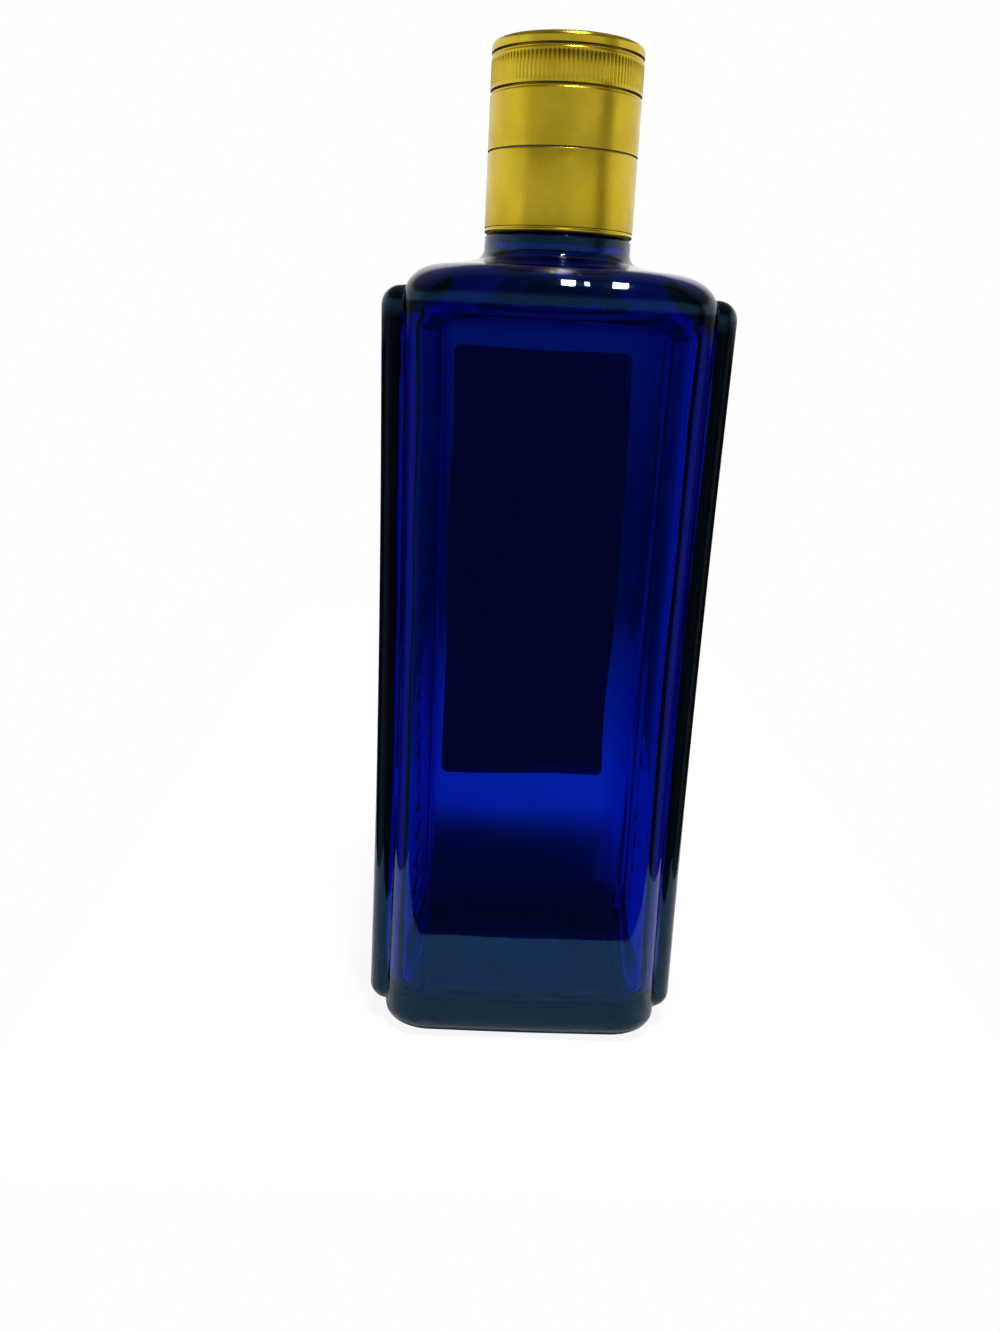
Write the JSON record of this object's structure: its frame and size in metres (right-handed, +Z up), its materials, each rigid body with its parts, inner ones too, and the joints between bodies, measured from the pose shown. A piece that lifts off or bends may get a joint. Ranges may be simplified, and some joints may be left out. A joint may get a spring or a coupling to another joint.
{
  "type": "spirit bottle with pouring closure",
  "caption": "Square moulded glass bottle with raised side panels and a blank label, closed by a long metal sleeve and screw cap over a plastic pouring fitment with a ball valve.",
  "frame": {"origin": "middle of the bottle's footprint, on the surface that it stands on", "axes": "+Z up along the bottle's axis, towards the cap; -Y out of the bare front face; +Y out of the labelled face; the raised panels face -X and +X"},
  "size_m": [0.0804, 0.071, 0.241],
  "materials": {
    "cobalt_glass": "polished cobalt blue",
    "clear_glass": "polished clear",
    "gold_aluminium": "gold lacquer, satin",
    "white_plastic": "moulded, white",
    "natural_plastic": "moulded, undyed",
    "foam_wad": "foamed, off-white",
    "label_paper": "blank label, matt cream"
  },
  "bodies": {
    "bottle": {"glass_bottle": "cobalt_glass", "front_label": "label_paper", "lower_sleeve": "gold_aluminium", "pourer_body": "natural_plastic", "valve_housing": "natural_plastic", "pour_spout": "natural_plastic", "mouth_gasket": "foam_wad"},
    "cap_wad": {"cap_liner": "foam_wad"},
    "cap": {"cap_shell": "gold_aluminium", "cap_insert": "white_plastic"},
    "valve_disc": {"valve_disc": "white_plastic"},
    "valve_ball": {"valve_ball": "clear_glass"}
  },
  "joints": [
    {"name": "cap_lift", "type": "slide", "parent": "bottle", "child": "cap_wad", "axis": [0, 0, 1], "range_m": [0, 0.005]},
    {"name": "cap_turn", "type": "hinge", "parent": "cap_wad", "child": "cap", "pos_m": [0, 0, 0.23], "axis": [0, 0, 1], "range_deg": [0, 450]},
    {"name": "disc_slide", "type": "slide", "parent": "bottle", "child": "valve_disc", "axis": [0, 0, 1], "range_m": [0, 0.003]},
    {"name": "ball_slide", "type": "slide", "parent": "valve_disc", "child": "valve_ball", "axis": [0, 0, 1], "range_m": [0, 0.005]}
  ],
  "couplings": [
    {"joint": "cap_lift", "follows": "cap_turn", "m_per_rad": 0.00063661}
  ]
}
